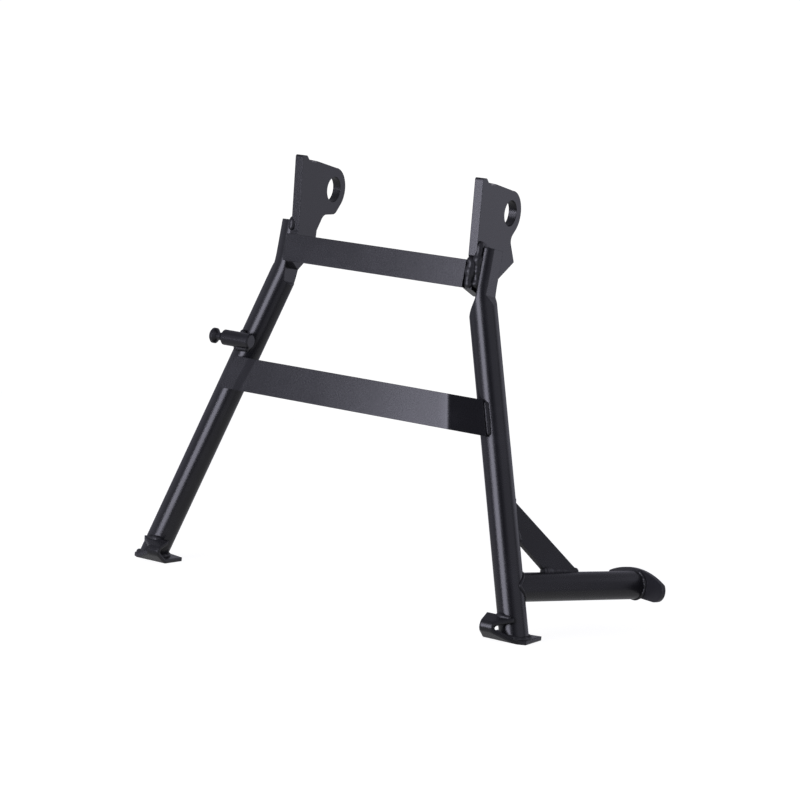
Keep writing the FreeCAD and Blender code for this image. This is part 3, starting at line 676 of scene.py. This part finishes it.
@dataclass
class CrossStraps:
    """The two flat bars and the beads down their ends.

    The stops of the wide bead, at the upper strap's right end, are places from the lug's
    inner face, the depth of the other beads and the strap's top or bottom.
    """

    upper_top: float = -48.9
    upper_width: float = 24.2
    upper_inset: float = 3.0
    lower_top: float = -164.9
    lower_width: float = 30.2
    lower_inset: float = 1.0
    bead: float = 2.6
    proud: float = 0.5
    past_lug: float = 0.5
    past_leg: float = 0.2
    wide_bead: float = 4.6
    wide_high: tuple[Triple, ...] = ((0.5, -0.5, 2.5), (4.5, -0.4, -2.0))
    wide_low: tuple[Triple, ...] = ((4.2, -0.6, 5.0), (5.5, 1.0, 0.5))
    wide_swell: tuple[float, ...] = (0.55, 0.9, 1.0, 1.05, 0.95, 0.85)

    def _upper(self, weld: bpy.types.Material) -> None:
        """Lay the beads of the upper strap.

        Args:
            weld: coat of the beads.
        """
        lay = LAYOUT
        face = lay.strap_back - self.proud
        high, low = self.upper_top, self.upper_top - self.upper_width
        left = [lay.point(-lay.lug_outer - self.past_lug, face, z)
                for z in (high - self.upper_inset, low + self.upper_inset)]
        Bead("upper_strap_left_bead", "upper_strap_left_weld", left, self.bead,
             phase=0.4).build(weld)
        right = [lay.point(lay.lug_inner + x, face + y, level + z)
                 for level, stops in ((high, self.wide_high), (low, self.wide_low))
                 for x, y, z in stops]
        Bead("upper_strap_right_bead", "upper_strap_right_weld", right, self.wide_bead,
             phase=0.4, wander=0.5, ripple=0.04, pitch=5.4, swell=self.wide_swell).build(weld)

    def build(self, weld: bpy.types.Material) -> None:
        """Lay a bead down each strap end.

        Args:
            weld: coat of the beads.
        """
        self._upper(weld)
        lay = LAYOUT
        ends = (self.lower_top - self.lower_inset,
                self.lower_top - self.lower_width + self.lower_inset)
        for name, sign in (("left", -1), ("right", 1)):
            line = [lay.point(sign * (lay.leg_x(z) + self.past_leg),
                              lay.strap_back - self.proud, z) for z in ends]
            Bead(f"lower_strap_{name}_bead", f"lower_strap_{name}_weld", line, self.bead,
                 phase=2.1).build(weld)

    def dress(self, flat: bpy.types.Material, set_back: bpy.types.Material) -> None:
        """Coat the straight upper strap and the lower strap, whose ends are set back."""
        dress("upper_cross_strap", flat)
        dress("lower_cross_strap", set_back)


@dataclass
class Feet:
    """The folded feet, the ring beads on their soles and the beads on their tongues.

    The tongue's level is a height in the part's own frame, and its degrees run round the leg
    from the front.
    """

    sole_bead: float = 2.3
    sole_gap: float = 0.2
    sole_rise: float = 0.6
    sole_points: int = 48
    tongue_bead: float = 2.9
    tongue_gap: float = 0.9
    tongue_level: float = -334.3
    tongue_degrees: range = range(-42, 30, 6)

    def _sole_ring(self) -> list[Vector]:
        """Line round the right leg where it meets its sole.

        Returns:
            The points in metres.
        """
        lay = LAYOUT
        down, root = lay.down(), lay.tang_root()
        side = down.cross(Vector((0, 1, 0))).normalized()
        ring = []
        for out in circle(side, down.cross(side), self.sole_points):
            start = root + out * (lay.leg_radius + self.sole_gap) * MM
            fall = (lay.sole_top + self.sole_rise) * MM - start.z
            ring.append(start + down * fall / down.z)
        return ring

    def _tongue_arc(self) -> list[Vector]:
        """Line round the front of the right leg where the tongue meets it.

        Returns:
            The points in metres.
        """
        lay = LAYOUT
        down, root = lay.down(), lay.tang_root()
        middle = root + down * (self.tongue_level * MM - root.z) / down.z
        reach = (lay.leg_radius + self.tongue_gap) * MM
        arc = [math.radians(degrees) for degrees in self.tongue_degrees]
        return [middle + Vector((math.sin(angle), -math.cos(angle), 0)) * reach
                for angle in arc]

    def build(self, weld: bpy.types.Material) -> None:
        """Lay the beads of both feet.

        Args:
            weld: coat of the beads.
        """
        ring, tongue = self._sole_ring(), self._tongue_arc()
        for name, sign in (("left", -1), ("right", 1)):
            for kind, line, radius, closed in (("sole", ring, self.sole_bead, True),
                                               ("tongue", tongue, self.tongue_bead, False)):
                placed = [Vector((sign * point.x, point.y, point.z)) for point in line]
                Bead(f"{name}_{kind}_bead", f"{name}_{kind}_weld", placed, radius, closed,
                     ripple=0.05, wander=0.4, phase=0.9 * sign).build(weld)

    def dress(self, coat: bpy.types.Material) -> None:
        """Coat the feet."""
        for node in ("left_foot", "right_foot"):
            dress(node, coat)


@dataclass
class SpringPost:
    """The grooved post on the left leg with its two beads."""

    height: float = -150.0
    radius: float = 7.0
    bead: float = 3.0
    proud: float = 1.4
    under: Pair = (7.0, 9.0)
    over: Pair = (1.0, 5.0)

    def build(self, weld: bpy.types.Material) -> None:
        """Lay the beads under and over the post.

        Args:
            weld: coat of the beads.
        """
        lay = LAYOUT
        axis = -lay.leg_x(self.height)
        for name, sign, (inner, outer) in (("weld", -1, self.under), ("tack", 1, self.over)):
            z = self.height + sign * self.radius
            line = [lay.point(x, lay.strap_back - self.proud, z)
                    for x in (axis + inner, axis - outer)]
            Bead(f"spring_post_{name}_bead", f"spring_post_{name}", line, self.bead,
                 phase=2.6).build(weld)

    def dress(self, coat: bpy.types.Material) -> None:
        """Coat the post."""
        dress("spring_post", coat)


@dataclass
class FootTang:
    """The tang with its gusset and tread plate, and their beads."""

    radius: float = 12.5
    run: float = 148.0
    points: int = 56
    rim: float = 0.2
    seat_gap: float = 0.3
    plate_gap: float = 0.4
    saddle_bead: float = 1.25
    ring_bead: float = 1.1
    ring_swell: tuple[float, ...] = (1.0, 2.2, 1.3, 2.1, 1.1) + (0.9,) * 8 + (1.8, 1.0)
    gusset_bead: float = 2.7
    gusset_swell: tuple[float, ...] = (2.0, 1.3, 1.0, 1.0, 1.25)
    gusset_high: Pair = (38.0, 77.0)
    gusset_far: Pair = (39.2, 80.0)

    def _arms(self) -> list[Vector]:
        """Directions round the tang, from its outer side."""
        out = LAYOUT.tang_out()
        return circle(Vector((out.y, -out.x, 0)), Vector((0, 0, 1)), self.points)

    def _saddle(self) -> list[Vector]:
        """Line where the tang meets the leg.

        Returns:
            The points in metres.
        """
        lay = LAYOUT
        down, out, root = lay.down(), lay.tang_out(), lay.tang_root()
        flat = out - down * out.dot(down)
        ring = []
        for arm in self._arms():
            wall = arm * self.radius
            across = wall - down * wall.dot(down)
            slant, spread = across.dot(flat), flat.length_squared
            rest = slant * slant - spread * (across.length_squared - lay.leg_radius ** 2)
            along = (math.sqrt(max(0.0, rest)) - slant) / spread + self.seat_gap
            wall *= (self.radius + self.rim) / self.radius
            ring.append(root + (wall + out * along) * MM)
        return ring

    def _plate_ring(self) -> list[Vector]:
        """Line where the tang meets the tread plate, in metres."""
        root, end = LAYOUT.tang_root(), LAYOUT.tang_out() * (self.run - self.plate_gap)
        return [root + (arm * (self.radius + self.rim) + end) * MM for arm in self._arms()]

    def _seats(self) -> tuple[list[Vector], list[Vector]]:
        """Lines where the gusset meets the leg and the tang.

        Returns:
            The ends of both lines in metres.
        """
        lay = LAYOUT
        root, out, rise = lay.tang_root(), lay.tang_out(), -lay.down()
        beside = (out - rise * out.dot(rise)).normalized()
        up = lay.down().cross(out).cross(out).normalized()
        leg = [root + (beside * (lay.leg_radius + self.seat_gap) + rise * high) * MM
               for high in self.gusset_high]
        tang = [root + (out * far + up * (self.radius + self.seat_gap)) * MM
                for far in self.gusset_far]
        return leg, tang

    def build(self, weld: bpy.types.Material) -> None:
        """Lay the beads of the tang.

        Args:
            weld: coat of the beads.
        """
        Bead("tang_bead", "tang_weld", self._saddle(), self.saddle_bead, True,
             ripple=0.03, wander=0.12).build(weld)
        Bead("pad_bead", "pad_weld", self._plate_ring(), self.ring_bead, True,
             ripple=0.04, swell=self.ring_swell, phase=1.1).build(weld)
        for name, line in zip(("gusset_leg", "gusset_tang"), self._seats()):
            Bead(f"{name}_bead", f"{name}_weld", line, self.gusset_bead, ripple=0.05,
                 swell=self.gusset_swell, phase=0.7).build(weld)

    def dress(self, coat: bpy.types.Material, tread: bpy.types.Material) -> None:
        """Coat the tang, its gusset and its tread plate.

        Args:
            coat: coat of the tang and gusset.
            tread: coat of the tread plate.
        """
        dress("tang_tube", coat)
        dress("tang_gusset", coat)
        dress("tang_pad", tread)


# Studio, in metres

@dataclass(frozen=True)
class Softbox:
    """One rectangular soft light.

    It stands at an azimuth, in degrees from -Y towards +X, at a distance from the middle and
    at a height over the pivot. Width and tall are its own sizes, and glow its brightness.
    """

    name: str
    azimuth: float
    distance: float
    height: float
    width: float
    tall: float
    glow: float


@dataclass
class Studio:
    """Camera of the photograph, pale floor, soft lights and one dark flag."""

    sensor: float = 36.0
    lens: float = 110.545
    clip: Pair = (0.05, 50.0)
    eye: Vector = field(default_factory=lambda: Vector((1.0720, -1.9213, 0.0427)))
    right: Vector = field(default_factory=lambda: Vector((0.86222, 0.49152, 0.12249)))
    up: Vector = field(default_factory=lambda: Vector((-0.15597, 0.02753, 0.98738)))
    middle: Vector = field(default_factory=lambda: Vector((0.03, -0.05, -0.17)))
    backdrop: float = 1.05
    level: float = 0.27
    tint: Triple = (0.99, 0.98, 1.17)
    boxes: tuple[Softbox, ...] = (
        Softbox("key_softbox", -9.7, 1.654, 0.0, 0.87, 1.9, 6.3),
        Softbox("low_softbox", -27.0, 1.74, -0.28, 0.22, 0.3, 8.0),
        Softbox("left_fill", -73.0, 2.0, 0.0, 1.6, 2.4, 0.25),
        Softbox("side_fill", 82.0, 2.2, 0.2, 2.2, 2.4, 0.40),
        Softbox("lug_fill", 138.0, 0.78, 0.0, 0.42, 0.5, 0.2),
        Softbox("rear_softbox", 146.0, 2.0, 0.2, 1.5, 1.5, 0.38))
    flag_azimuth: float = 22.0
    flag_distance: float = 2.6
    flag_height: float = 0.1
    flag_size: Pair = (1.5, 3.0)
    flag_grey: float = 0.004
    ground: float = -0.3543
    floor_radius: float = 1.3
    floor_points: int = 96
    floor_grey: float = 0.25
    floor_glow: float = 0.92
    bounce_drop: float = 0.3
    bounce_glow: float = 0.32

    def _camera(self) -> None:
        """Set the photograph's camera at its solved pose."""
        data = bpy.data.cameras.new("photo_camera")
        data.sensor_width = self.sensor
        data.lens = self.lens
        data.clip_start, data.clip_end = self.clip
        made = bpy.data.objects.new("photo_camera", data)
        turn = Matrix((self.right, self.up, self.right.cross(self.up))).transposed().to_4x4()
        made.matrix_world = Matrix.Translation(self.eye) @ turn
        bpy.context.scene.collection.objects.link(made)
        bpy.context.scene.camera = made

    def _stand(self, made: bpy.types.Object, azimuth: float, distance: float,
               height: float) -> None:
        """Put a light or card on a circle round the part, facing it and unseen.

        Args:
            made: object whose local -Z faces the part.
            azimuth: degrees from -Y towards +X.
            distance: radius of the circle.
            height: height over the pivot.
        """
        angle = math.radians(azimuth)
        place = self.middle + Vector((math.sin(angle), -math.cos(angle), 0)) * distance
        place.z = height
        made.location = place
        made.rotation_mode = "QUATERNION"
        made.rotation_quaternion = (self.middle - place).to_track_quat("-Z", "Y")
        made.visible_camera = False
        bpy.context.scene.collection.objects.link(made)

    def _light(self, box: Softbox) -> None:
        """Add a soft light.

        Args:
            box: its place, size and glow.
        """
        data = bpy.data.lights.new(box.name, "AREA")
        data.shape = "RECTANGLE"
        data.size, data.size_y = box.width, box.tall
        data.color = self.tint
        data.energy = box.glow * math.pi * box.width * box.tall * math.pi / 4
        self._stand(bpy.data.objects.new(box.name, data), box.azimuth, box.distance, box.height)

    def _card(self, name: str, outline: list[Pair], grey: float,
              glow: float) -> bpy.types.Object:
        """Flat matt card in its own XY plane.

        Args:
            name: its name.
            outline: its corners.
            grey: grey of its surface.
            glow: its own light.

        Returns:
            The card, not yet in the scene.
        """
        mesh = bmesh.new()
        mesh.faces.new([mesh.verts.new((x, y, 0)) for x, y in outline])
        data = bpy.data.meshes.new(name)
        mesh.to_mesh(data)
        mesh.free()
        made = bpy.data.objects.new(name, data)
        graph = Graph(f"{name}_paint")
        graph.feed("Base Color", shade(grey, grey, grey))
        graph.feed("Roughness", 1.0)
        graph.feed("Specular IOR Level", 0.0)
        graph.feed("Emission Color", shade(1.0, 1.0, 1.0))
        graph.feed("Emission Strength", glow)
        data.materials.append(graph.material)
        return made

    def _sky(self) -> None:
        """Even soft light from all round, with a white backdrop behind the part."""
        world = bpy.data.worlds.new("studio")
        world.use_nodes = True
        nodes, links = world.node_tree.nodes, world.node_tree.links
        soft, white = nodes["Background"], nodes.new("ShaderNodeBackground")
        soft.inputs["Color"].default_value = (*self.tint, 1.0)
        soft.inputs["Strength"].default_value = self.level
        white.inputs["Color"].default_value = shade(1.0, 1.0, 1.0)
        white.inputs["Strength"].default_value = self.backdrop
        path, both = nodes.new("ShaderNodeLightPath"), nodes.new("ShaderNodeMixShader")
        links.new(path.outputs["Is Camera Ray"], both.inputs[0])
        links.new(soft.outputs[0], both.inputs[1])
        links.new(white.outputs[0], both.inputs[2])
        links.new(both.outputs[0], nodes["World Output"].inputs["Surface"])
        bpy.context.scene.world = world

    def _floor(self) -> None:
        """Lay the pale floor, which only the camera sees, and the soft bounce under it."""
        rim = [(self.floor_radius * math.cos(turn), self.floor_radius * math.sin(turn))
               for turn in turns(self.floor_points)]
        floor = self._card("floor", rim, self.floor_grey, self.floor_glow)
        floor.visible_glossy = floor.visible_diffuse = False
        bounce = self._card("floor_bounce", rim, self.floor_grey, self.bounce_glow)
        bounce.visible_camera = False
        for card, drop in ((floor, 0.0), (bounce, self.bounce_drop)):
            card.location.z = self.ground - drop
            bpy.context.scene.collection.objects.link(card)

    def build(self) -> None:
        """Set up the whole studio."""
        self._camera()
        self._sky()
        for box in self.boxes:
            self._light(box)
        half, tall = (size / 2 for size in self.flag_size)
        outline = [(-half, -tall), (half, -tall), (half, tall), (-half, tall)]
        self._stand(self._card("dark_flag", outline, self.flag_grey, 0.0),
                    self.flag_azimuth, self.flag_distance, self.flag_height)
        self._floor()
        view = bpy.context.scene.view_settings
        view.view_transform = "Standard"
        view.look = "None"
        view.exposure, view.gamma = 0.0, 1.0


def main() -> None:
    """Build the studio, then every sub-assembly in order."""
    logging.basicConfig(level=logging.INFO, format="%(message)s")
    Studio().build()
    coat = PowderCoat("frame_coat").make()
    lug_coat = PowderCoat("lug_coat", edge=0.8, worn=True).make()
    set_back = PowderCoat("set_back_coat", crease=Crease.SET_BACK).make()
    weld = WeldCoat("weld_coat").make()
    LegTubes().dress(PowderCoat("tube_coat", edge=2.2, samples=8).make())
    straps, lugs, feet = CrossStraps(), PivotLugs(), Feet()
    straps.build(weld)
    straps.dress(coat, set_back)
    lugs.build(weld)
    lugs.dress(lug_coat)
    feet.build(weld)
    feet.dress(PowderCoat("foot_coat", edge=2.4, samples=8).make())
    post, tang = SpringPost(), FootTang()
    post.build(weld)
    post.dress(coat)
    tang.build(weld)
    # The tread plate's coat is painted paler than the frame's: painted light, a lighter colour
    # standing in for the light the plate catches.
    tang.dress(coat, PowderCoat("pad_painted_light_coat", colour=shade(0.02, 0.02, 0.023),
                                pale=shade(0.03, 0.03, 0.034), roughness=0.34).make())


if __name__ == "__main__":
    main()
